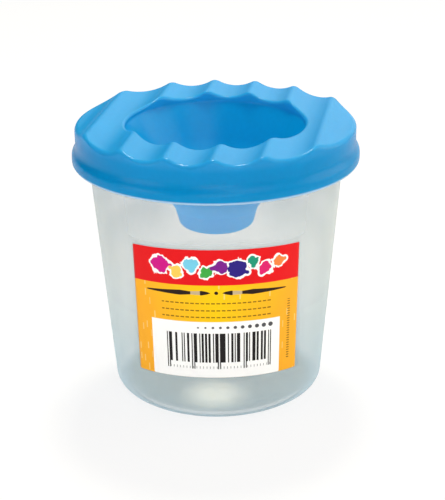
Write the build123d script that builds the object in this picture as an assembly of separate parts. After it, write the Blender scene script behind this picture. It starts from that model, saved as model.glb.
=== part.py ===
from build123d import *
import math
import os

# A small water cup for painting, with a push-on lid.
# The lid's dish drains through a funnel, and its wavy top holds brushes laid across it.
# Millimetres. The origin is the centre of the foot on the table, +Z is up, the label faces -Y.

# Overall size, which the rest of the cup and lid follows
crown_height = 85.2       # table to the crests of the lid
skirt_radius = 41.5       # outside of the lid's upright skirt

# Cup wall and floor
crown_rise = 7.6          # from the top of the cup's rim to the crests
base_inset = 9.75         # from the skirt in to the wall's slanted line, taken down to the table
wall_taper = 4.75         # degrees that each side leans outwards
cup_wall = 1.2
floor_thickness = 1.4
corner_round = 3.4        # outside, from the wall to the underside
level_height = 33.5       # the wall is thicker below this level
level_step = 0.3
level_slope = 0.6         # height over which the step runs out

# Foot ring under the cup
foot_setback = 0.1        # inwards from where the wall's corner ends
foot_height = 0.9
foot_width = 1.6
foot_round = 0.3

# Rim flange, which the lid's shoulder rests on
seat_width = 0.8          # how far the flange reaches under the shoulder
flange_thickness = 2.0
flange_round = 0.6

# Lid skirt and bead
lid_wall = 1.2
lid_overlap = 3.7         # how far the lip hangs below the top of the cup's rim
bead_out = 1.2            # the bead stands out past the skirt by this
bead_round = 2.6          # convex part of the bead's flare
flare_round = 4.0         # concave part of the bead's flare
lip_round = 1.0           # outer corner of the lip
lip_chamfer = 0.2         # inner corner of the lip

# Clearances between lid and cup
rim_clearance = 0.15      # radial, between the flange and the inside of the bead
seat_clearance = 0.05     # height, between the flange and the shoulder

# Wavy crown with straight grooves for brushes
groove_pitch = 13.2
groove_depth = 1.7
crest_radius = 2.6
groove_shift = -0.4       # sideways shift of the middle groove
lid_turn = -10.0          # degrees, turns the grooves about the cup's axis
crown_edge_round = 1.2
dish_edge_round = 0.9

# Dish, funnel and spout
dish_radius = 26.6        # inside the dish's upright wall
dish_wall_height = 3.1    # crests to the foot of the upright wall
dish_foot_round = 1.5
neck_radius = 12.5        # outside, where the funnel becomes the spout
spout_radius = 11.0       # outside, at the bottom
spout_height = 51.6       # table to the spout's bottom
spout_length = 5.6        # from its bottom up to the neck
spout_round = 2.0
hole_radius = 7.5

# Label, an oblong sticker round the front of the cup
label_thickness = 0.12
label_gap = 0.03          # glue line
label_low = 15.85         # middle of the lower edge
label_high = 57.45        # middle of the upper edge
label_corner_drop = 1.2   # how much lower the corners are than the middle of each edge
label_top_half = 23.6     # half of the width seen from the front, at the upper edge
label_bottom_half = 22.85
label_shift = -0.3
label_round = 0.4

# One overrun for every cut
overrun = 5.0

# Derived sizes shared by the sub-parts
cup_height = crown_height - crown_rise
base_radius = skirt_radius - base_inset
neck_height = spout_height + spout_length
wall_lean = math.tan(math.radians(wall_taper))
skirt_inner = skirt_radius - lid_wall
flange_radius = skirt_inner + seat_width
bead_inner = flange_radius + rim_clearance
bead_radius = skirt_radius + bead_out
lip_z = cup_height - lid_overlap
bead_z = lip_z + lip_round
shoulder_z = cup_height + seat_clearance
dish_z = crown_height - dish_wall_height
corner_reach = corner_round * math.tan(math.radians((90 - wall_taper) / 2))


def wall_radius(z, inset=0.0):
    """Outer radius of the cup's wall at height z, less an inset measured across it."""
    return base_radius + wall_lean * z - inset


def rounded(face, corner, radius):
    """Round the corner of a flat face that is nearest to the given point."""
    nearest = face.vertices().sort_by_distance(Vector(*corner))[0]
    return fillet(nearest, radius)


def turned(face):
    """Spin a profile drawn as (radius, height) about the upright axis."""
    return revolve(Plane.XZ * face, Axis.Z)


def cup():
    """Cup body: foot ring, floor, tapered wall and rim flange, as one moulding."""
    floor_top = foot_height + floor_thickness
    flange_low = cup_height - flange_thickness
    lower_wall = cup_wall + level_step
    step_low = level_height - level_slope
    foot_radius = wall_radius(foot_height) - corner_reach - foot_setback
    foot_inside = (foot_radius - foot_width, 0)
    foot_outside = (foot_radius, 0)
    under_corner = (wall_radius(foot_height), foot_height)
    flange_under = (flange_radius, flange_low)
    flange_top = (flange_radius, cup_height)
    inner_corner = (wall_radius(floor_top, lower_wall), floor_top)
    outline = Polyline(
        (0, foot_height),
        (foot_radius - foot_width, foot_height),
        foot_inside,
        foot_outside,
        (foot_radius, foot_height),
        under_corner,
        (wall_radius(flange_low), flange_low),
        flange_under,
        flange_top,
        (wall_radius(cup_height, cup_wall), cup_height),
        (wall_radius(level_height, cup_wall), level_height),
        (wall_radius(step_low, lower_wall), step_low),
        inner_corner,
        (0, floor_top),
        close=True,
    )
    face = make_face(outline)
    face = rounded(face, under_corner, corner_round)
    face = rounded(face, inner_corner, corner_round - cup_wall)
    for corner in (foot_inside, foot_outside):
        face = rounded(face, corner, foot_round)
    for corner in (flange_under, flange_top):
        face = rounded(face, corner, flange_round)
    return turned(face)


def bead_edge():
    """Outer side of the lid, from the crown down over the bead to the lip, as a list of edges."""
    swing = math.acos(1 - bead_out / (bead_round + flare_round))
    flare_z = bead_z + (bead_round + flare_round) * math.sin(swing)
    swing_degrees = math.degrees(swing)
    top = crown_height + overrun
    straight = Line((skirt_radius, top), (skirt_radius, flare_z))
    concave = CenterArc((skirt_radius + flare_round, flare_z), flare_round, 180, swing_degrees)
    convex = CenterArc((bead_radius - bead_round, bead_z), bead_round, 0, swing_degrees)
    lip = CenterArc((bead_radius - lip_round, bead_z), lip_round, 270, 90)
    return [straight, concave, convex, lip]


def lid_block():
    """The lid's outer form as a solid, taller than the crown."""
    top = crown_height + overrun
    outer = bead_edge()
    rest = Polyline((bead_radius - lip_round, lip_z), (0, lip_z), (0, top), (skirt_radius, top))
    return turned(make_face(outer + [rest]))


def lid_hollow():
    """The room inside the skirt: wide at the bead, a shoulder over the cup's rim, narrower above."""
    top = crown_height + overrun
    low = lip_z - overrun
    outline = Polyline(
        (0, low),
        (bead_inner + lip_chamfer, low),
        (bead_inner + lip_chamfer, lip_z),
        (bead_inner, lip_z + lip_chamfer),
        (bead_inner, shoulder_z),
        (skirt_inner, shoulder_z),
        (skirt_inner, top),
        (0, top),
        close=True,
    )
    return turned(make_face(outline))


def groove_block(inset):
    """Everything under the grooved surface, or under its underside when inset by the wall."""
    count = 2 * math.ceil(bead_radius / groove_pitch - 0.5) + 1
    half_pitch = groove_pitch / 2
    radii = (half_pitch**2 + groove_depth**2) / (2 * groove_depth)
    groove_radius = radii - crest_radius
    lean = math.asin(half_pitch / radii)
    crest_z = crown_height - crest_radius
    tangent_x = (groove_radius + inset) * math.sin(lean)
    tangent_z = crest_z + (crest_radius - inset) * math.cos(lean)
    valley_z = crown_height - groove_depth - inset
    first = groove_shift - groove_pitch * (count - 1) / 2
    edges = []
    for number in range(count):
        middle = first + number * groove_pitch
        start = (middle - tangent_x, tangent_z)
        end = (middle + tangent_x, tangent_z)
        edges.append(ThreePointArc(start, (middle, valley_z), end))
        if number < count - 1:
            following = (middle + groove_pitch - tangent_x, tangent_z)
            edges.append(ThreePointArc(end, (middle + half_pitch, crown_height - inset), following))
    left = edges[0] @ 0
    right = edges[-1] @ 1
    low = spout_height - overrun
    edges.append(Polyline(right, (right.X, low), (left.X, low), left))
    length = 2 * (bead_radius + overrun)
    block = extrude(Plane.XZ * make_face(edges), length / 2, both=True)
    return Rot(0, 0, lid_turn) * block


def funnel_solid():
    """Outer form of the dish wall, funnel and spout, filled in."""
    collar_radius = dish_radius + lid_wall
    lean = math.atan2(dish_radius + lid_wall - neck_radius, dish_z - neck_height)
    collar_z = dish_z - lid_wall * math.tan(lean / 2)
    top = crown_height + overrun
    spout_corner = (spout_radius, spout_height)
    face = make_face(Polyline(
        (0, spout_height),
        spout_corner,
        (neck_radius, neck_height),
        (collar_radius, collar_z),
        (collar_radius, top),
        (0, top),
        close=True,
    ))
    face = rounded(face, spout_corner, spout_round)
    face = rounded(face, (collar_radius, collar_z), dish_foot_round + lid_wall)
    return turned(face)


def funnel_hollow():
    """The way for water and brushes: dish, funnel, spout and the hole in its bottom."""
    spout_lean = math.atan2(neck_radius - spout_radius, neck_height - spout_height)
    spout_across = lid_wall / math.cos(spout_lean)
    cone_lean = math.atan2(dish_radius + lid_wall - neck_radius, dish_z - neck_height)
    cone_across = lid_wall / math.cos(cone_lean)
    neck_inner = neck_radius - (spout_across + cone_across) / 2
    inner_floor = spout_height + lid_wall
    floor_share = lid_wall / (neck_height - spout_height)
    floor_inner = spout_radius + (neck_radius - spout_radius) * floor_share - spout_across
    top = crown_height + overrun
    dish_foot = (dish_radius, dish_z)
    spout_foot = (floor_inner, inner_floor)
    face = make_face(Polyline(
        (0, spout_height - overrun),
        (hole_radius, spout_height - overrun),
        (hole_radius, inner_floor),
        spout_foot,
        (neck_inner, neck_height),
        dish_foot,
        (dish_radius, top),
        (0, top),
        close=True,
    ))
    face = rounded(face, spout_foot, spout_round - lid_wall)
    face = rounded(face, dish_foot, dish_foot_round)
    return turned(face)


def on_radius(edge, radius, above):
    """Whether an edge lies on an upright cylinder of this radius, above a height."""
    slack = lid_wall / 100
    for share in (0.1, 0.5, 0.9):
        point = edge @ share
        if abs(math.hypot(point.X, point.Y) - radius) > slack or point.Z < above:
            return False
    return True


def lid():
    """Lid: skirt with its bead, grooved crown, dish and funnel, as one moulding."""
    crown = groove_block(0)
    outer = lid_block() & crown
    hollow = lid_hollow() & groove_block(lid_wall)
    body = (outer - hollow) + (funnel_solid() & crown)
    body = body - funnel_hollow()
    top_edges = body.edges().filter_by(lambda edge: on_radius(edge, skirt_radius, dish_z))
    body = fillet(top_edges, crown_edge_round)
    dish_edges = body.edges().filter_by(lambda edge: on_radius(edge, dish_radius, dish_z + lid_wall))
    return fillet(dish_edges, dish_edge_round)


def label():
    """Label: a thin skin on the cup's slanted wall, with an oblong outline seen from the front."""
    near = label_gap
    far = label_gap + label_thickness
    low = label_low - overrun
    high = label_high + overrun
    skin = turned(make_face(Polyline(
        (wall_radius(low) + near, low),
        (wall_radius(low) + far, low),
        (wall_radius(high) + far, high),
        (wall_radius(high) + near, high),
        close=True,
    )))
    top_left = (label_shift - label_top_half, label_high - label_corner_drop)
    top_right = (label_shift + label_top_half, label_high - label_corner_drop)
    low_left = (label_shift - label_bottom_half, label_low - label_corner_drop)
    low_right = (label_shift + label_bottom_half, label_low - label_corner_drop)
    face = make_face([
        ThreePointArc(top_left, (label_shift, label_high), top_right),
        Line(top_right, low_right),
        ThreePointArc(low_right, (label_shift, label_low), low_left),
        Line(low_left, top_left),
    ])
    face = fillet(face.vertices(), label_round)
    reach = wall_radius(label_high) + overrun
    return skin & extrude(Plane.XZ * face, reach)


os.makedirs("parts", exist_ok=True)
for name, shape in (("cup", cup()), ("lid", lid()), ("label", label())):
    export_step(shape, f"parts/{name}.step")
    size = shape.bounding_box().size
    print(name, len(shape.solids()), round(shape.volume), [round(value, 1) for value in size])
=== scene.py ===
import math

import bpy
from mathutils import Matrix, Vector


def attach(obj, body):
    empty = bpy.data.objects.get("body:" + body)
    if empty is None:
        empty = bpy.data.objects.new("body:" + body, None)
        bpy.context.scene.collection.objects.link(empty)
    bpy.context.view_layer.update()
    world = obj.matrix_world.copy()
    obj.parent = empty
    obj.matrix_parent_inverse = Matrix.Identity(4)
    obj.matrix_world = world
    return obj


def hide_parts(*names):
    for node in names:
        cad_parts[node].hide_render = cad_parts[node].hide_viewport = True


# A small water cup for painting: a milky cup, a blue lid with a wavy top and a printed label.
# Metres, in the part's own frame: the origin is the centre of the foot, +Z is up and the label
# faces -Y. Profiles are drawn as (radius, height).

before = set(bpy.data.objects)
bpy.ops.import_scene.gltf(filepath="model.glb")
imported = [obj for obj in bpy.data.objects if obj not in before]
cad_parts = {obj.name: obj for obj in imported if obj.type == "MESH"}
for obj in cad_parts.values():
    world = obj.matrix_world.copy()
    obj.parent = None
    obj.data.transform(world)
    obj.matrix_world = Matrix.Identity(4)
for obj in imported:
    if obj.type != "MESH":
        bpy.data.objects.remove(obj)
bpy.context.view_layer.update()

MM = 0.001
FULL_TURN = 2 * math.pi

# Cup
wall_lean = math.tan(math.radians(4.75))
base_radius = 31.75 * MM      # the outer wall's slanted line, taken down to the table
cup_height = 77.6 * MM
cup_wall = 1.2 * MM
lower_wall = 1.5 * MM         # below the level line
level_height = 33.5 * MM
level_slope = 0.6 * MM
floor_height = 2.3 * MM       # top of the floor
foot_height = 0.9 * MM        # from the table to the underside
foot_outer = 28.3 * MM
foot_inner = 26.7 * MM
corner_round = 3.4 * MM
flange_radius = 41.1 * MM
flange_low = 75.6 * MM
gate_radius = 2.2 * MM        # moulding mark in the middle of the underside
gate_depth = 0.3 * MM

# Lid
skirt_radius = 41.5 * MM
lid_wall = 1.2 * MM
bead_radius = 42.68 * MM      # a hair less than the solid's, whose flat facets set its box
bead_inner = 41.25 * MM
bead_round = 2.6 * MM
bead_height = 74.9 * MM       # where the bead is widest
flare_round = 4.0 * MM
lip_height = 72.6 * MM
lip_round = 1.0 * MM
shoulder_height = 77.65 * MM
crown_height = 85.19 * MM
crown_edge_round = 1.2 * MM
dish_edge_round = 0.9 * MM
dish_radius = 26.6 * MM
dish_foot_height = 82.1 * MM
dish_foot_round = 1.5 * MM
neck_radius = 12.5 * MM
neck_height = 57.2 * MM
spout_radius = 11.0 * MM
spout_height = 51.6 * MM
spout_round = 2.0 * MM
hole_radius = 7.5 * MM
groove_pitch = 13.2 * MM
groove_depth = 1.7 * MM
crest_radius = 2.6 * MM
groove_turn = math.radians(-10.0)
groove_shift = -0.4 * MM

# Label, measured as in the part's source
label_thickness = 0.12 * MM
label_gap = 0.03 * MM
label_low = 15.85 * MM
label_high = 57.45 * MM
label_drop = 1.2 * MM
label_top_half = 23.6 * MM
label_bottom_half = 22.85 * MM
label_shift = -0.3 * MM
label_round = 0.4 * MM

# Label's print, in millimetres across from the flat label's middle and up from its lower edge
print_width = 51.2
print_height = 41.6
ink_softness = 0.1
band_low = 30.4
panel_side_reach = 21.0       # the panel's yellow deepens towards its sides
panel_low_reach = 60.0        # and a little towards its lower edge
panel_even = 0.15             # less this share, which keeps its middle even
dash_pitch = 1.5              # across, of the flecks and of the dashed rules
fleck_pitch = 2.4 * dash_pitch
fleck_size = (0.35, 2.2)
fleck_shift = 5               # pitches that a column of flecks is shifted by, at most
fleck_rarity = 0.95           # share of the flecks' places that stay empty
fleck_side = 20.2             # from here out, fewer stay empty by the next share
fleck_side_gain = 0.33
fleck_strength = 0.6
box_middle = (-0.35, 9.3)
box_size = (39.1, 18.6)
bars_left = -15.0
bar_module = 0.33
bar_count = 95
bar_seed = 7.0
bars_low = 5.1
bars_high = 14.8
guard_every = 23              # modules from one pair of long bars to the next
guard_drop = 2.2
ruler_height = 3.4
ruler_rise = 0.8
ruler_pitch = 1.0
ruler_tick_half = 0.09
ruler_strength = 0.8
brush_height = 28.0
brush_tip = 1.7
brush_end = 21.3
brush_half = 1.5              # half of a brush's width where its share is 1
brush_widths = (              # place along a brush, share of the width there
    (0.0, 0.02),
    (0.05, 0.3),
    (0.13, 0.5),
    (0.16, 0.42),
    (0.3, 0.34),
    (0.45, 0.55),
    (0.97, 0.14),
    (1.0, 0.0),
)
ferrule_start = 0.15
ferrule_end = 0.29
rule_heights = (24.6, 22.3, 20.1)
rule_half = 16.2              # half of the rules' length
rule_thickness = 0.42
rule_strength = 0.85
dash_share = 0.72             # of the pitch that a dash covers, as a tick does of its own
tick_middle = (22.3, 14.0)
tick_size = (0.95, 20.0)
tick_pitch = 0.82
tick_share = 0.45
tick_strength = 0.8
chart_left = -5.4
chart_pitch = 2.15
chart_height = 16.7
chart_dots = 11
dot_radius = 0.28
dot_growth = 0.045
wobble_reach = 2.6
drop_radius = 0.55
drop_gap = 0.7                # from a blot's edge to the middle of the drop beside it
drop_turn = 2.4               # from one blot's drop to the next one's
drop_flatness = 0.7
drop_blend = 0.9
dab_rim = 0.6
dabs = (                      # across, up, radius, colour
    (-16.4, 36.4, 2.6, (206, 22, 134)),
    (-11.4, 34.6, 1.7, (252, 206, 92)),
    (-7.2, 36.9, 2.1, (120, 204, 232)),
    (-2.9, 34.5, 1.6, (66, 168, 72)),
    (1.3, 36.2, 1.9, (124, 34, 142)),
    (6.0, 35.6, 2.7, (48, 34, 130)),
    (10.7, 37.3, 1.5, (34, 150, 120)),
    (14.2, 35.2, 1.8, (222, 34, 110)),
    (18.3, 36.8, 1.6, (246, 132, 66)),
)

# Lid's finish
spout_glow_top = 72.0 * MM    # painted glow: the spout grows paler from here down
spout_glow_fade = 14.0 * MM
crown_sheen_low = 81.5 * MM    # painted sheen: the crown is a little paler from here up
crown_sheen_fade = 1.5 * MM
crown_sheen_share = 0.12
lip_highlight_height = 1.0 * MM    # this much of the lip, from its lower edge up, has a painted highlight
lip_highlight_fade = 0.4 * MM
lip_highlight_share = 0.9
lid_glow_share = 0.35         # of the lid's light, this much has come through its wall
spout_glow_gain = 0.3

# Cup's finish, with shares from 0, clear, to 1, solid
cup_floor_radius = 29.5 * MM  # the floor's milkier disc ends here, after its fade
cup_floor_fade = 3.0 * MM
cup_floor_top = 5.0 * MM      # and lies below this height
inside_low = 1.9 * MM         # the inside counts from here up
level_fade = 2.0 * MM
milk_deep_top = 50.0 * MM     # the milk grows denser and cooler from here down
rim_shade_low = 52.0 * MM      # painted shade: inside the cup the milk is denser and darker from here up
rim_shade_fade = 16.0 * MM
lid_shade_high = 52.5 * MM    # painted shade of the lid on the inside of the cup's back, at both sides, up to here
lid_shade_edge = 4.0 * MM
lid_shade_low = 28.0 * MM
lid_shade_fade = 18.0 * MM
lid_shade_aside = 13.0 * MM
lid_shade_grow = 7.0 * MM
label_shade_reach = 2.6 * MM  # painted shade: the wall is darker this far round the label, which keeps light out of it
label_shade_under = 1.0 * MM  # and this far under the label's edge
label_shade_depth = 0.6       # of the shade's own colour
milk_wall = 0.23              # where the wall is seen straight on
milk_thick_gain = 0.07        # more in the thicker lower wall
milk_deep_gain = 0.1          # and more still towards the base
milk_inside_loss = 0.7        # less on the inside, save in the painted shade near the rim
milk_floor_gain = 0.85
# more milk in the painted shades round the label and under the lid
label_shade_density_gain = 0.28
lid_shade_density_gain = 0.25
milk_aslant_gain = 0.62       # more of what is clear, where the wall is seen aslant
milk_glow_share = 0.5         # of the milk's light, this much has come through it
milk_floor_glow_loss = 0.3

# Fineness of the meshes
edge_round = 0.15 * MM        # on every edge that has no larger rounding
edge_keep = 0.12 * MM         # a run's first and last point lie this far from its ends
arc_step = math.radians(15)
fine_spacing = 0.38 * MM
coarse_spacing = 4.0 * MM
weld_distance = 0.001 * MM
lid_segments = 432
cup_segments = 288
label_rows = 24
label_columns = 72
label_close_steps = 6         # rows in each rounded end of the label
label_bow_steps = 3           # rounds in which a point of the label finds its height

# Photograph's view
image_height = 500
focal_pixels = 1364.58
view_distance = 420 * MM
view_elevation = math.radians(22.734)
view_roll = math.radians(-0.793)
aim_height = 38.6 * MM
shift_right_pixels = 5.27
shift_up_pixels = 11.77
sensor_height = 24.0
near_clip = 10 * MM

# Studio
world_light = 0.36
backdrop_reach = 0.09         # the white side of a gloss reaches this far past the middle
backdrop_fade = 0.2
floor_half = 3.0
floor_glow = 0.84
plain = (1.0, 1.0, 1.0)
warm = (1.0, 0.95, 0.78)
lamps = (                     # name, place, height that it aims at, width, power, colour
    ("top", (0.02, 0.28, 0.82), 0.05, 0.14, 6.7, warm),
    ("overhead", (0.0, 0.0, 0.9), 0.05, 0.8, 1.0, plain),
    ("back_right", (0.45, 0.85, 0.55), 0.06, 0.8, 0.8, warm),
    ("front_right", (0.3, -0.6, 0.6), 0.05, 0.5, 1.25, plain),
    ("front_low", (0.0, -0.9, 0.2), 0.05, 0.5, 1.6, plain),
    ("right", (0.75, 0.1, 0.42), 0.05, 0.7, 3.2, warm),
    ("left", (-0.75, -0.45, 0.15), 0.05, 0.5, 1.8, plain),
)


class Wire:
    """An output of a node. Python's operators on it add Math nodes to its tree."""

    def __init__(self, graph, socket):
        self.graph = graph
        self.socket = socket

    def out(self, name):
        """Another output of the same node."""
        return Wire(self.graph, find_socket(self.socket.node.outputs, name))

    def __add__(self, other):
        return maths("ADD", self, other)

    def __radd__(self, other):
        return maths("ADD", other, self)

    def __sub__(self, other):
        return maths("SUBTRACT", self, other)

    def __rsub__(self, other):
        return maths("SUBTRACT", other, self)

    def __mul__(self, other):
        return maths("MULTIPLY", self, other)

    def __rmul__(self, other):
        return maths("MULTIPLY", other, self)

    def __truediv__(self, other):
        return maths("DIVIDE", self, other)

    def __rtruediv__(self, other):
        return maths("DIVIDE", other, self)

    def __lt__(self, other):
        return maths("LESS_THAN", self, other)

    def __gt__(self, other):
        return maths("GREATER_THAN", self, other)

    def __abs__(self):
        return maths("ABSOLUTE", self)


class Graph:
    """A node tree that is being built."""

    def __init__(self, tree):
        self.tree = tree
        tree.nodes.clear()

    def node(self, kind, settings=None, values=None):
        """Add a node, its settings first, then its inputs' values or wires. Gives its first output."""
        added = self.tree.nodes.new(kind)
        for name, value in (settings or {}).items():
            if name == "stops":
                set_stops(added.color_ramp, value)
            else:
                setattr(added, name, value)
        for key, value in (values or {}).items():
            socket = find_socket(added.inputs, key)
            if isinstance(value, Wire):
                self.tree.links.new(value.socket, socket)
            else:
                socket.default_value = value
        return Wire(self, added.outputs[0]) if added.outputs else None

    def mix(self, share, first, second):
        """Blend two colours by a share of the second."""
        settings = {"data_type": "RGBA"}
        values = {"Factor_Float": share, "A_Color": first, "B_Color": second}
        return self.node("ShaderNodeMix", settings, values).out("Result_Color")

    def noise(self, place, scale):
        """Smooth random values about 0.5."""
        values = {"Vector": place, "Scale": scale, "Detail": 2.0}
        return self.node("ShaderNodeTexNoise", None, values)


def maths(operation, *values):
    """A Math node on numbers and wires, of which at least one is a wire."""
    graph = next(value.graph for value in values if isinstance(value, Wire))
    return graph.node("ShaderNodeMath", {"operation": operation}, dict(enumerate(values)))


def clamped(wire):
    """A wire's value, held between 0 and 1."""
    return wire.graph.node("ShaderNodeClamp", None, {"Value": wire})


def find_socket(sockets, key):
    """The socket at a place, or with an identifier, or else with a name."""
    if isinstance(key, int):
        return sockets[key]
    for socket in sockets:
        if socket.identifier == key:
            return socket
    return sockets[key]


def set_stops(ramp, stops):
    """Give a colour ramp its stops, as (place, colour)."""
    while len(ramp.elements) < len(stops):
        ramp.elements.new(1.0)
    for element, (place, colour) in zip(ramp.elements, stops):
        element.position = place
        element.color = colour


# Colours

def srgb(red, green, blue):
    """A colour given as 0 to 255 on a screen, in the linear values that shaders take."""
    linear = []
    for value in (red, green, blue):
        share = value / 255
        linear.append(share / 12.92 if share <= 0.04045 else ((share + 0.055) / 1.055) ** 2.4)
    return (*linear, 1.0)


lid_deep = srgb(0, 140, 198)
lid_light = srgb(0, 166, 222)
# painted light on the lid: the spout's glow, the crown's sheen and the lip's highlight
painted_spout_glow = srgb(32, 218, 255)
painted_crown_sheen = srgb(120, 190, 225)
painted_lip_highlight = srgb(205, 238, 255)
lid_glow = srgb(0, 202, 246)
milk_high = srgb(230, 231, 221)
milk_low = srgb(190, 217, 229)
milk_inside = srgb(206, 212, 208)
# painted shade inside the cup near the rim
painted_rim_shade = srgb(182, 192, 194)
milk_floor = srgb(246, 240, 230)
# painted shades: under the lid and round the label
painted_lid_shade = srgb(142, 176, 192)
painted_label_shade = srgb(110, 120, 122)
milk_glow_high = srgb(222, 226, 219)
milk_glow_low = milk_low
panel_light = srgb(255, 203, 16)
panel_deep = srgb(250, 174, 42)
fleck_pale = srgb(255, 226, 150)
band_red = srgb(228, 20, 26)
rim_white = srgb(252, 250, 250)
brush_dark = srgb(40, 30, 24)
ferrule_pale = srgb(196, 176, 140)
rule_brown = srgb(104, 80, 14)
box_white = srgb(253, 253, 253)
bar_black = srgb(34, 31, 32)
dot_grey = srgb(84, 84, 88)
paper_dark = srgb(226, 224, 218)
paper_light = srgb(238, 237, 233)


# Profiles

def wall_radius(height, inset=0.0):
    """Outer radius of the cup's wall at a height, less an inset."""
    return base_radius + wall_lean * height - inset


def corner_arc(before, corner, after, rounding):
    """Points of the arc that rounds a corner of a flat line."""
    backward = (before - corner).normalized()
    onward = (after - corner).normalized()
    turn = math.pi - backward.angle(onward)
    reach = rounding * math.tan(turn / 2)
    centre = corner + (backward + onward).normalized() * (rounding / math.cos(turn / 2))
    first = corner + backward * reach - centre
    last = corner + onward * reach - centre
    count = max(2, math.ceil(turn / arc_step))
    points = []
    for number in range(count + 1):
        share = number / count
        along = math.sin((1 - share) * turn) * first + math.sin(share * turn) * last
        points.append(centre + along / math.sin(turn))
    return points


def run_shares(length, spacing):
    """Shares of a straight run at which it gets points, besides its ends."""
    if length < 3 * edge_keep:
        return []
    keep = edge_keep / length
    count = max(1, math.ceil(length / spacing))
    inner = [number / count for number in range(1, count)]
    return [keep] + [share for share in inner if keep < share < 1 - keep] + [1 - keep]


def rounded_profile(corners, closed):
    """Points of a profile from its corners, as (radius, height, lift).

    A corner is (radius, height, rounding, lift), and lift is how far the point follows the grooves.
    """
    places = [Vector(corner[:2]) for corner in corners]
    arcs = []
    for number, (radius, height, rounding, lift) in enumerate(corners):
        end_point = not closed and number in (0, len(corners) - 1)
        if end_point:
            arcs.append([places[number]])
            continue
        after = places[(number + 1) % len(corners)]
        arcs.append(corner_arc(places[number - 1], places[number], after, rounding))
    points = []
    for number, arc in enumerate(arcs):
        lift = corners[number][3]
        points += [(*place, lift) for place in arc]
        if number + 1 == len(arcs) and not closed:
            break
        following = (number + 1) % len(arcs)
        next_lift = corners[following][3]
        start, end = arc[-1], arcs[following][0]
        spacing = fine_spacing if lift and next_lift else coarse_spacing
        for share in run_shares((end - start).length, spacing):
            place = start.lerp(end, share)
            points.append((*place, lift + (next_lift - lift) * share))
    if closed:
        points.append(points[0])
    return points


def cup_profile():
    """From the middle of the floor out over the rim and down to the middle of the underside."""
    under_corner = wall_radius(foot_height)
    inner_corner = wall_radius(floor_height, lower_wall)
    step_low = level_height - level_slope
    corners = [
        (0, floor_height, 0, 0),
        (inner_corner, floor_height, corner_round - cup_wall, 0),
        (wall_radius(step_low, lower_wall), step_low, 4 * edge_round, 0),
        (wall_radius(level_height, cup_wall), level_height, 4 * edge_round, 0),
        (wall_radius(cup_height, cup_wall), cup_height, 2 * edge_round, 0),
        (flange_radius, cup_height, 4 * edge_round, 0),
        (flange_radius, flange_low, 4 * edge_round, 0),
        (wall_radius(flange_low), flange_low, 2 * edge_round, 0),
        (under_corner, foot_height, corner_round, 0),
        (foot_outer, foot_height, edge_round / 2, 0),
        (foot_outer, 0, 2 * edge_round, 0),
        (foot_inner, 0, 2 * edge_round, 0),
        (foot_inner, foot_height, 2 * edge_round, 0),
        (gate_radius, foot_height, edge_round, 0),
        (gate_radius, foot_height + gate_depth, edge_round, 0),
        (0, foot_height + gate_depth, 0, 0),
    ]
    return rounded_profile(corners, closed=False)


def lid_profile():
    """Once round the lid's wall: down the skirt, up inside it, down and up the funnel, over the crown."""
    swing = math.acos(1 - (bead_radius - skirt_radius) / (bead_round + flare_round))
    flare_height = bead_height + (bead_round + flare_round) * math.sin(swing)
    concave = (skirt_radius, flare_height - flare_round * math.tan(swing / 2), flare_round, 0)
    convex = (bead_radius, bead_height + bead_round * math.tan(swing / 2), bead_round, 0)
    collar_radius = dish_radius + lid_wall
    cone_lean = math.atan2(collar_radius - neck_radius, dish_foot_height - neck_height)
    collar_height = dish_foot_height - lid_wall * math.tan(cone_lean / 2)
    cone_across = lid_wall / math.cos(cone_lean)
    underside = crown_height - lid_wall
    spout_inner = spout_radius - lid_wall
    corners = [
        (skirt_radius, crown_height, crown_edge_round, 1),
        concave,
        convex,
        (bead_radius, lip_height, lip_round - edge_keep, 0),
        (bead_inner, lip_height, edge_round, 0),
        (bead_inner, shoulder_height, edge_round, 0),
        (skirt_radius - lid_wall, shoulder_height, edge_round, 0),
        (skirt_radius - lid_wall, underside, edge_round, 1),
        (collar_radius, underside, edge_round, 1),
        (collar_radius, collar_height, dish_foot_round + lid_wall, 0),
        (neck_radius, neck_height, lid_wall, 0),
        (spout_radius, spout_height, spout_round, 0),
        (hole_radius, spout_height, edge_round, 0),
        (hole_radius, spout_height + lid_wall, 2 * edge_round, 0),
        (spout_inner, spout_height + lid_wall, spout_round - lid_wall, 0),
        (neck_radius - cone_across, neck_height, lid_wall, 0),
        (dish_radius, dish_foot_height, dish_foot_round, 0),
        (dish_radius, crown_height, dish_edge_round, 1),
    ]
    return rounded_profile(corners, closed=True)


# Turned meshes

def groove_lift(place_x, place_y, sizes):
    """Height of the wavy crown above its crests, never more than zero, at a place on it."""
    turn, shift, pitch, depth, crest = (sizes.out(name) for name in (
        "Groove turn", "Groove shift", "Groove pitch", "Groove depth", "Crest radius"))
    across = place_x * maths("COSINE", turn) + place_y * maths("SINE", turn) - shift
    wraps = maths("ROUND", across / pitch)
    from_middle = abs(across - wraps * pitch)
    half = pitch / 2
    radii = (half * half + depth * depth) / (2 * depth)
    groove = radii - crest
    tangent = groove * half / radii
    valley_room = maths("MAXIMUM", groove * groove - from_middle * from_middle, 0)
    valley = groove - depth - maths("SQRT", valley_room)
    from_crest = half - from_middle
    crest_room = maths("MAXIMUM", crest * crest - from_crest * from_crest, 0)
    top = maths("SQRT", crest_room) - crest
    on_crest = from_middle > tangent
    return valley + (top - valley) * on_crest


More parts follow.
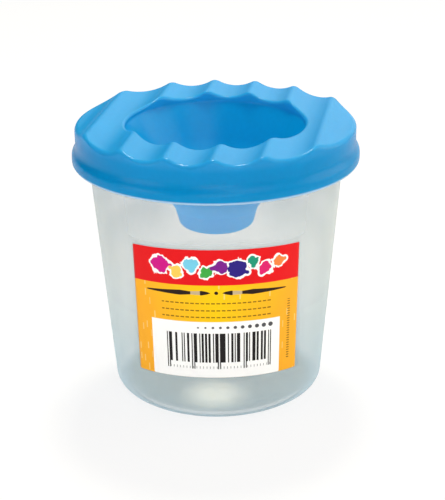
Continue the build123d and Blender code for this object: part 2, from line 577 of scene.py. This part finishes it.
def turning_tree():
    """Geometry nodes that turn a profile about the upright axis and press straight grooves into it."""
    tree = bpy.data.node_groups.new("turned_and_grooved", "GeometryNodeTree")
    kinds = (
        ("Profile", "NodeSocketGeometry"),
        ("Segments", "NodeSocketInt"),
        ("Points", "NodeSocketInt"),
        ("Groove pitch", "NodeSocketFloat"),
        ("Groove depth", "NodeSocketFloat"),
        ("Crest radius", "NodeSocketFloat"),
        ("Groove turn", "NodeSocketFloat"),
        ("Groove shift", "NodeSocketFloat"),
        ("Material", "NodeSocketMaterial"),
    )
    for name, kind in kinds:
        tree.interface.new_socket(name, in_out="INPUT", socket_type=kind)
    tree.interface.new_socket("Mesh", in_out="OUTPUT", socket_type="NodeSocketGeometry")
    graph = Graph(tree)
    sizes = graph.node("NodeGroupInput")
    rows, columns = sizes.out("Points"), sizes.out("Segments") + 1
    grid = graph.node("GeometryNodeMeshGrid", None, {"Vertices X": rows, "Vertices Y": columns})
    index = graph.node("GeometryNodeInputIndex")
    row = maths("FLOOR", (index + 0.5) / columns)
    angle = (index - row * columns) * FULL_TURN / sizes.out("Segments")
    point = graph.node("GeometryNodeInputPosition")
    lift = graph.node("GeometryNodeInputNamedAttribute", {"data_type": "FLOAT"}, {"Name": "lift"})
    profile = sizes.out("Profile")
    drawn = graph.node(
        "GeometryNodeSampleIndex",
        {"data_type": "FLOAT_VECTOR"},
        {"Geometry": profile, "Value": point, "Index": row},
    )
    lifted = graph.node(
        "GeometryNodeSampleIndex",
        {"data_type": "FLOAT"},
        {"Geometry": profile, "Value": lift, "Index": row},
    )
    parts = graph.node("ShaderNodeSeparateXYZ", None, {0: drawn})
    radius, height = parts.out("X"), parts.out("Z")
    place_x = radius * maths("COSINE", angle)
    place_y = radius * maths("SINE", angle)
    place_z = height + lifted * groove_lift(place_x, place_y, sizes)
    place = graph.node("ShaderNodeCombineXYZ", None, {0: place_x, 1: place_y, 2: place_z})
    shape = graph.node("GeometryNodeSetPosition", None, {"Geometry": grid, "Position": place})
    shape = graph.node("GeometryNodeMergeByDistance", None, {0: shape, "Distance": weld_distance})
    shape = graph.node("GeometryNodeSetShadeSmooth", None, {0: shape})
    shape = graph.node("GeometryNodeRealizeInstances", None, {0: shape})
    values = {"Geometry": shape, "Material": sizes.out("Material")}
    shape = graph.node("GeometryNodeSetMaterial", None, values)
    graph.node("NodeGroupOutput", None, {"Mesh": shape})
    return tree


def turned_piece(name, profile, segments, finish, tree):
    """A piece turned from a profile, as a plain closed mesh."""
    drawn = bpy.data.meshes.new(name)
    drawn.from_pydata([(radius, 0, height) for radius, height, lift in profile], [], [])
    lifts = drawn.attributes.new("lift", "FLOAT", "POINT")
    lifts.data.foreach_set("value", [lift for radius, height, lift in profile])
    piece = bpy.data.objects.new(name, drawn)
    bpy.context.scene.collection.objects.link(piece)
    modifier = piece.modifiers.new("turn", "NODES")
    modifier.node_group = tree
    inputs = {
        "Segments": segments,
        "Points": len(profile),
        "Groove pitch": groove_pitch,
        "Groove depth": groove_depth,
        "Crest radius": crest_radius,
        "Groove turn": groove_turn,
        "Groove shift": groove_shift,
        "Material": finish,
    }
    for socket in tree.interface.items_tree:
        if socket.name in inputs:
            modifier[socket.identifier] = inputs[socket.name]
    bpy.context.view_layer.update()
    evaluated = piece.evaluated_get(bpy.context.evaluated_depsgraph_get())
    piece.data = bpy.data.meshes.new_from_object(evaluated)
    piece.modifiers.remove(modifier)
    return piece


# Label sheet

def label_place(along, up, out):
    """A point of the label: shares along and up it, and its distance out from the cup's wall."""
    span = label_high - label_low
    rise = up * span
    edge_height = label_low - label_drop + rise
    near_end = min(rise, span - rise)
    bite = 0.0
    if near_end < label_round:
        bite = label_round - math.sqrt(label_round**2 - (label_round - near_end) ** 2)
    half = label_bottom_half + (label_top_half - label_bottom_half) * up - bite
    left = math.asin((label_shift - half) / wall_radius(edge_height))
    right = math.asin((label_shift + half) / wall_radius(edge_height))
    angle = left + (right - left) * along
    height = edge_height
    for step in range(label_bow_steps):
        aside = (wall_radius(height) * math.sin(angle) - label_shift) / half
        height = edge_height + label_drop * (1 - aside**2)
    radius = wall_radius(height) + out
    return (radius * math.sin(angle), -radius * math.cos(angle), height)


def label_sheet(face_finish, back_finish):
    """The label as a thin closed sheet, with a UV map that runs from 0 to 1 over its face."""
    span = label_high - label_low
    turns = [step / label_close_steps * math.pi / 2 for step in range(label_close_steps + 1)]
    close_shares = [label_round * (1 - math.cos(turn)) / span for turn in turns]
    rows = close_shares + [row / label_rows for row in range(1, label_rows)]
    rows += [1 - share for share in reversed(close_shares)]
    columns = [column / label_columns for column in range(label_columns + 1)]
    faces, places, flat = [], [], []
    for out in (label_gap + label_thickness, label_gap):
        for up in rows:
            for along in columns:
                places.append(label_place(along, up, out))
                flat.append((along, up))
    wide, high = len(columns), len(rows)
    layer = wide * high
    for row in range(high - 1):
        for column in range(wide - 1):
            corner = row * wide + column
            face = (corner, corner + 1, corner + wide + 1, corner + wide)
            faces.append(face)
            faces.append(tuple(layer + number for number in reversed(face)))
    border = list(range(wide))
    border += [row * wide + wide - 1 for row in range(1, high)]
    border += [(high - 1) * wide + column for column in range(wide - 2, -1, -1)]
    border += [row * wide for row in range(high - 2, 0, -1)]
    for number, corner in enumerate(border):
        following = border[(number + 1) % len(border)]
        faces.append((following, corner, layer + corner, layer + following))
    mesh = bpy.data.meshes.new("label_sheet")
    mesh.from_pydata(places, [], faces)
    print_map = mesh.uv_layers.new(name="print")
    for loop in mesh.loops:
        print_map.data[loop.index].uv = flat[loop.vertex_index]
    mesh.materials.append(face_finish)
    mesh.materials.append(back_finish)
    for polygon in mesh.polygons:
        polygon.material_index = 1 if any(number >= layer for number in polygon.vertices) else 0
    mesh.shade_smooth()
    piece = bpy.data.objects.new("label_sheet", mesh)
    bpy.context.scene.collection.objects.link(piece)
    return piece


# Finishes

def new_material(name):
    """An empty material and its node tree."""
    made = bpy.data.materials.new(name)
    made.use_nodes = True
    return made, Graph(made.node_tree)


def place_parts(graph):
    """A point's place on its piece, and how far it lies aside, along and up."""
    place = graph.node("ShaderNodeTexCoord").out("Object")
    parts = graph.node("ShaderNodeSeparateXYZ", None, {0: place})
    return place, parts.out("X"), parts.out("Y"), parts.out("Z")


def lid_finish():
    """Blue plastic with a satin skin, a painted sheen on the crown, a painted highlight along the lip, and
    a paler spout whose glow is partly painted and partly light let through.
    """
    made, graph = new_material("lid_blue")
    place, aside, along, height = place_parts(graph)
    across = maths("SQRT", aside * aside + along * along)
    broad = graph.noise(place, scale=60)
    mottle = graph.noise(place, scale=700)
    fine = graph.noise(place, scale=2200)
    # painted glow at the spout, painted sheen on the crown and painted highlight along the lip
    spout = clamped((spout_glow_top - height) / spout_glow_fade)
    crown = clamped((height - crown_sheen_low) / crown_sheen_fade)
    lip = clamped((lip_height + lip_highlight_height - height) / lip_highlight_fade) * (across > bead_inner)
    colour = graph.mix(0.4 * broad + 0.6 * mottle, lid_deep, lid_light)
    colour = graph.mix(spout, colour, painted_spout_glow)
    colour = graph.mix(crown_sheen_share * crown, colour, painted_crown_sheen)
    colour = graph.mix(lip_highlight_share * lip, colour, painted_lip_highlight)
    bump = graph.node("ShaderNodeBump", None, {"Strength": 0.12, "Distance": 0.1 * MM, "Height": fine})
    values = {
        "Base Color": colour,
        "Roughness": 0.22 + 0.06 * broad,
        "Specular IOR Level": 0.2,
        "Normal": bump,
    }
    skin = graph.node("ShaderNodeBsdfPrincipled", None, values)
    glow = graph.node("ShaderNodeBsdfTranslucent", None, {"Color": lid_glow, "Normal": bump})
    share = lid_glow_share + spout_glow_gain * spout
    wall = graph.node("ShaderNodeMixShader", None, {0: share, 1: skin, 2: glow})
    graph.node("ShaderNodeOutputMaterial", None, {"Surface": wall})
    return made


def shade_under_lid(aside, along, height, inside):
    """Share of the painted shade of the lid on the inside of the cup's back, at both sides."""
    share = inside
    for limit in (
        (lid_shade_high - height) / lid_shade_edge,
        (height - lid_shade_low) / lid_shade_fade,
        (abs(aside) - lid_shade_aside) / lid_shade_grow,
        along / lid_shade_grow,
    ):
        share = share * clamped(limit)
    return share


def shade_round_label(aside, along, height, inside):
    """Share of the painted shade in the outside of the wall close round the label, which keeps light out.
    """
    half = (label_top_half + label_bottom_half) / 2
    bow = (aside - label_shift) / half
    beside = abs(aside - label_shift) - half
    middle = (label_low + label_high) / 2
    above = abs(height + label_drop * bow * bow - middle) - (label_high - label_low) / 2
    border = maths("MAXIMUM", above, beside)
    share = clamped(1 - border / label_shade_reach)
    return share * share * (along < 0) * (border > -label_shade_under) * (1 - inside)


def cup_finish():
    """Milky plastic that lets light and shapes through, denser and cooler towards its thick base, with
    painted shades under the lid and round the label.
    """
    made, graph = new_material("cup_milky")
    place, aside, along, height = place_parts(graph)
    across = maths("SQRT", aside * aside + along * along)
    in_floor = clamped((cup_floor_radius - across) / cup_floor_fade) * (height < cup_floor_top)
    inside = (wall_radius(height, cup_wall / 2) > across) * (height > inside_low)
    # painted shades of the lid and the label
    lid_shade = shade_under_lid(aside, along, height, inside)
    label_shade = shade_round_label(aside, along, height, inside)
    frost = graph.noise(place, scale=1500)
    thick = clamped((level_height - height) / level_fade)
    depth = clamped(1 - height / milk_deep_top)
    # painted shade of the lid inside the cup near the rim
    rim_shade = clamped((height - rim_shade_low) / rim_shade_fade)
    colour = graph.mix(depth, milk_high, milk_low)
    colour = graph.mix(inside, colour, graph.mix(rim_shade, milk_inside, painted_rim_shade))
    colour = graph.mix(in_floor, colour, milk_floor)
    colour = graph.mix(lid_shade, colour, painted_lid_shade)
    colour = graph.mix(label_shade_depth * label_shade, colour, painted_label_shade)
    bump = graph.node("ShaderNodeBump", None, {"Strength": 0.05, "Distance": 0.1 * MM, "Height": frost})
    values = {
        "Base Color": colour,
        "Roughness": 0.42 + 0.06 * frost,
        "Specular IOR Level": 0.3,
        "Normal": bump,
    }
    front = graph.node("ShaderNodeBsdfPrincipled", None, values)
    high_glow = graph.node("ShaderNodeBsdfTranslucent", None, {"Color": milk_glow_high, "Normal": bump})
    low_glow = graph.node("ShaderNodeBsdfTranslucent", None, {"Color": milk_glow_low, "Normal": bump})
    glow = graph.node("ShaderNodeMixShader", None, {0: depth * (1 - in_floor), 1: high_glow, 2: low_glow})
    glow_share = milk_glow_share - milk_floor_glow_loss * in_floor
    milk = graph.node("ShaderNodeMixShader", None, {0: glow_share, 1: front, 2: glow})
    through = graph.node("ShaderNodeBsdfTransparent")
    facing = graph.node("ShaderNodeLayerWeight", None, {"Blend": 0.5}).out("Facing")
    wall = milk_wall + milk_thick_gain * thick + milk_deep_gain * depth * depth
    straight = wall * (1 - milk_inside_loss * inside * (1 - rim_shade)) + milk_floor_gain * in_floor * inside
    straight = straight + label_shade_density_gain * label_shade + lid_shade_density_gain * lid_shade
    density = straight + milk_aslant_gain * (1 - straight) * (1 - inside) * facing * facing
    skin = graph.node("ShaderNodeMixShader", None, {0: density, 1: through, 2: milk})
    graph.node("ShaderNodeOutputMaterial", None, {"Surface": skin})
    return made


def print_place(graph):
    """Where a point lies on the flat label: millimetres across and up."""
    flat = graph.node("ShaderNodeUVMap", {"uv_map": "print"})
    parts = graph.node("ShaderNodeSeparateXYZ", None, {0: flat})
    return (parts.out("X") - 0.5) * print_width, parts.out("Y") * print_height


def random_share(graph, across, up=0.0):
    """A random value from 0 to 1 for each whole number across and up."""
    cell = graph.node("ShaderNodeCombineXYZ", None, {0: across, 1: up})
    return graph.node("ShaderNodeTexWhiteNoise", {"noise_dimensions": "3D"}, {"Vector": cell})


def inked(distance):
    """1 where a distance is below zero and 0 above it, with the soft edge of printed ink."""
    return clamped(0.5 - distance / ink_softness)


def box_distance(across, up, middle, size):
    """Distance outside a box, negative inside it."""
    aside = abs(across - middle[0]) - size[0] / 2
    above = abs(up - middle[1]) - size[1] / 2
    return maths("MAXIMUM", aside, above)


def circle_distance(across, up, middle, radius):
    """Distance outside a circle, negative inside it."""
    aside, above = across - middle[0], up - middle[1]
    return maths("SQRT", aside * aside + above * above) - radius


def paint_panel(graph, across, up):
    """Yellow panel, deeper towards its sides, with pale upright flecks, below the red band."""
    side = clamped(abs(across) / panel_side_reach + (band_low - up) / panel_low_reach - panel_even)
    colour = graph.mix(side, panel_light, panel_deep)
    column = across / dash_pitch
    cell_across = maths("FLOOR", column)
    row = up / fleck_pitch + random_share(graph, cell_across) * fleck_shift
    cell_up = maths("FLOOR", row)
    chance = random_share(graph, cell_across, cell_up)
    in_column = (column - cell_across - 0.5) * dash_pitch
    in_row = (row - cell_up - 0.5) * fleck_pitch
    fleck = inked(box_distance(in_column, in_row, (0, 0), fleck_size))
    chosen = chance > fleck_rarity - fleck_side_gain * (abs(across) > fleck_side)
    colour = graph.mix(fleck_strength * fleck * chosen, colour, fleck_pale)
    return graph.mix(inked(band_low - up), colour, band_red)


def paint_dabs(graph, colour, across, up):
    """A row of paint blots with white rims, each with a drop beside it."""
    place = graph.node("ShaderNodeCombineXYZ", None, {0: across, 1: up})
    wobble = (graph.noise(place, scale=0.5) - 0.5) * wobble_reach
    inks, rims = [], []
    for number, (blot_across, blot_up, radius, ink) in enumerate(dabs):
        blot = circle_distance(across, up, (blot_across, blot_up), radius) + wobble
        heading = drop_turn * number
        reach = radius + drop_gap
        middle = (
            blot_across + reach * math.cos(heading),
            blot_up + drop_flatness * reach * math.sin(heading),
        )
        drop = circle_distance(across, up, middle, drop_radius)
        shape = maths("SMOOTH_MIN", blot, drop, drop_blend)
        inks.append((inked(shape), srgb(*ink)))
        rims.append(inked(shape - dab_rim))
    for rim in rims:
        colour = graph.mix(rim, colour, rim_white)
    for share, ink in inks:
        colour = graph.mix(share, colour, ink)
    return colour


def paint_brushes(graph, colour, across, up):
    """Two brushes that point at a drop between them."""
    from_middle = abs(across)
    along = (from_middle - brush_tip) / (brush_end - brush_tip)
    stops = [(place, (width, width, width, 1)) for place, width in brush_widths]
    ramp = graph.node("ShaderNodeValToRGB", {"stops": stops}, {"Fac": along})
    width = graph.node("ShaderNodeSeparateColor", None, {0: ramp})
    shape = inked(abs(up - brush_height) - brush_half * width) * (from_middle > brush_tip)
    ferrule = (along > ferrule_start) * (along < ferrule_end)
    ink = graph.mix(ferrule, brush_dark, ferrule_pale)
    colour = graph.mix(shape * (along < 1.0), colour, ink)
    drop = inked(circle_distance(across, up, (0, brush_height), drop_radius))
    return graph.mix(drop, colour, brush_dark)


def paint_rules(graph, colour, across, up):
    """Dashed rules to write on, and a column of short ticks at the right."""
    dash = maths("FRACT", across / dash_pitch) < dash_share
    for height in rule_heights:
        rule = inked(box_distance(across, up, (0, height), (2 * rule_half, rule_thickness)))
        colour = graph.mix(rule_strength * rule * dash, colour, rule_brown)
    tick = maths("FRACT", up / tick_pitch) < tick_share
    column = inked(box_distance(across, up, tick_middle, tick_size))
    return graph.mix(tick_strength * column * tick, colour, rule_brown)


def paint_bars(graph, across, up):
    """Share of black ink of the upright bars and the small ruler below them.

    The modules' numbers are whole, so the limits between them are halves.
    """
    cell = maths("FLOOR", (across - bars_left) / bar_module)
    chance = random_share(graph, cell, bar_seed)
    in_guard = maths("FLOORED_MODULO", cell, guard_every)
    guard = (in_guard < 0.5) + (in_guard > 1.5) * (in_guard < 2.5)
    gap = (in_guard > 0.5) * (in_guard < 1.5)
    black = maths("MAXIMUM", (chance > 0.5) * (1 - gap), guard)
    low = bars_low - guard_drop * guard
    field = (cell > -0.5) * (cell < bar_count - 0.5)
    bars = black * field * inked(low - up) * inked(up - bars_high)
    step = maths("FRACT", across / ruler_pitch + 0.5)
    tick = inked(abs(step - 0.5) * ruler_pitch - ruler_tick_half)
    ruler = tick * field * inked(box_distance(across, up, (0, ruler_height), (print_width, ruler_rise)))
    return maths("MAXIMUM", bars, ruler_strength * ruler * (1 - guard))


def paint_box(graph, colour, across, up):
    """White box with bars and a row of growing dots, a chart of brush sizes."""
    box = inked(box_distance(across, up, box_middle, box_size))
    colour = graph.mix(box, colour, box_white)
    colour = graph.mix(paint_bars(graph, across, up), colour, bar_black)
    for number in range(chart_dots):
        middle = (chart_left + chart_pitch * number, chart_height)
        dot = inked(circle_distance(across, up, middle, dot_radius + dot_growth * number))
        colour = graph.mix(dot, colour, dot_grey)
    return colour


def label_finish():
    """Coated paper with the label's print."""
    made, graph = new_material("label_print")
    across, up = print_place(graph)
    colour = paint_panel(graph, across, up)
    colour = paint_dabs(graph, colour, across, up)
    colour = paint_brushes(graph, colour, across, up)
    colour = paint_rules(graph, colour, across, up)
    colour = paint_box(graph, colour, across, up)
    place = graph.node("ShaderNodeTexCoord").out("Object")
    fibres = graph.noise(place, scale=2600)
    bump = graph.node("ShaderNodeBump", None, {"Strength": 0.08, "Distance": 0.05 * MM, "Height": fibres})
    values = {
        "Base Color": colour,
        "Roughness": 0.42 + 0.08 * fibres,
        "Specular IOR Level": 0.1,
        "Normal": bump,
    }
    skin = graph.node("ShaderNodeBsdfPrincipled", None, values)
    graph.node("ShaderNodeOutputMaterial", None, {"Surface": skin})
    return made


def label_back_finish():
    """The label's plain paper, which shows through the cup from behind."""
    made, graph = new_material("label_paper_back")
    place = graph.node("ShaderNodeTexCoord").out("Object")
    fibres = graph.noise(place, scale=1800)
    colour = graph.mix(fibres, paper_dark, paper_light)
    values = {"Base Color": colour, "Roughness": 0.7 + 0.1 * fibres, "Specular IOR Level": 0.2}
    skin = graph.node("ShaderNodeBsdfPrincipled", None, values)
    graph.node("ShaderNodeOutputMaterial", None, {"Surface": skin})
    return made


# Studio

def seen_rays(graph):
    """Two wires: 1 for rays from the camera or through the cup, and 1 for rays in a gloss."""
    path = graph.node("ShaderNodeLightPath")
    camera, glossy = path.out("Is Camera Ray"), path.out("Is Glossy Ray")
    through = path.out("Is Transmission Ray")
    return maths("MAXIMUM", camera, through), glossy


def studio_world():
    """White where it is seen, and even light from all round. A gloss sees white at the right alone."""
    world = bpy.data.worlds.new("studio")
    world.use_nodes = True
    bpy.context.scene.world = world
    graph = Graph(world.node_tree)
    heading = graph.node("ShaderNodeTexCoord").out("Generated")
    parts = graph.node("ShaderNodeSeparateXYZ", None, {0: heading})
    backdrop = clamped((parts.out("X") + backdrop_reach) / backdrop_fade + 0.5)
    direct, glossy = seen_rays(graph)
    seen = maths("MAXIMUM", direct, glossy)
    white = maths("MAXIMUM", direct, glossy * backdrop)
    strength = world_light * (1 - seen) + white
    values = {"Color": (1, 1, 1, 1), "Strength": strength}
    light = graph.node("ShaderNodeBackground", None, values)
    graph.node("ShaderNodeOutputWorld", None, {"Surface": light})


def floor_finish():
    """White paper: part of what the camera sees is its own glow, and the rest keeps the shadow."""
    made, graph = new_material("floor_white")
    paper = graph.node("ShaderNodeBsdfDiffuse", None, {"Color": (0.8, 0.8, 0.8, 1)})
    light = graph.node("ShaderNodeEmission", None, {"Color": (1, 1, 1, 1), "Strength": 1.0})
    direct, glossy = seen_rays(graph)
    share = floor_glow * maths("MAXIMUM", direct, glossy)
    mixed = graph.node("ShaderNodeMixShader", None, {0: share, 1: paper, 2: light})
    graph.node("ShaderNodeOutputMaterial", None, {"Surface": mixed})
    return made


def floor():
    """The floor that the cup stands on."""
    corners = [(-1, -1), (1, -1), (1, 1), (-1, 1)]
    mesh = bpy.data.meshes.new("floor")
    mesh.from_pydata([(floor_half * x, floor_half * y, 0) for x, y in corners], [], [(0, 1, 2, 3)])
    mesh.materials.append(floor_finish())
    ground = bpy.data.objects.new("floor", mesh)
    bpy.context.scene.collection.objects.link(ground)


def softbox(name, place, target_height, width, power, tint):
    """A square area lamp at a place, turned towards a point of the upright axis."""
    lamp = bpy.data.lights.new(name, "AREA")
    lamp.size = width
    lamp.energy = power
    lamp.color = tint
    holder = bpy.data.objects.new(name, lamp)
    bpy.context.scene.collection.objects.link(holder)
    holder.location = place
    forward = Vector((0, 0, target_height)) - Vector(place)
    holder.rotation_euler = forward.to_track_quat("-Z", "Y").to_euler()


def camera():
    """The photograph's view."""
    lens = bpy.data.cameras.new("view")
    lens.sensor_fit = "VERTICAL"
    lens.sensor_height = sensor_height
    lens.lens = focal_pixels / image_height * sensor_height
    lens.shift_x = shift_right_pixels / image_height
    lens.shift_y = shift_up_pixels / image_height
    lens.clip_start = near_clip
    eye = bpy.data.objects.new("view", lens)
    bpy.context.scene.collection.objects.link(eye)
    forward = Vector((0, math.cos(view_elevation), -math.sin(view_elevation)))
    facing = forward.to_track_quat("-Z", "Y").to_matrix().to_4x4()
    place = Vector((0, 0, aim_height)) - forward * view_distance
    eye.matrix_world = Matrix.Translation(place) @ facing @ Matrix.Rotation(view_roll, 4, "Z")
    bpy.context.scene.camera = eye


bpy.context.scene.view_settings.view_transform = "Standard"
camera()
studio_world()
floor()
for lamp_settings in lamps:
    softbox(*lamp_settings)

tree = turning_tree()
cup = turned_piece("cup_shell", cup_profile(), cup_segments, cup_finish(), tree)
lid = turned_piece("lid_shell", lid_profile(), lid_segments, lid_finish(), tree)
label = label_sheet(label_finish(), label_back_finish())
bpy.data.node_groups.remove(tree)

for piece, node, body, slot in (
    (cup, "cup", "cup_body", "cup_plastic"),
    (lid, "lid", "lid_body", "lid_plastic"),
    (label, "label", "cup_body", "label_paper"),
):
    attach(piece, body)
    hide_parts(node)
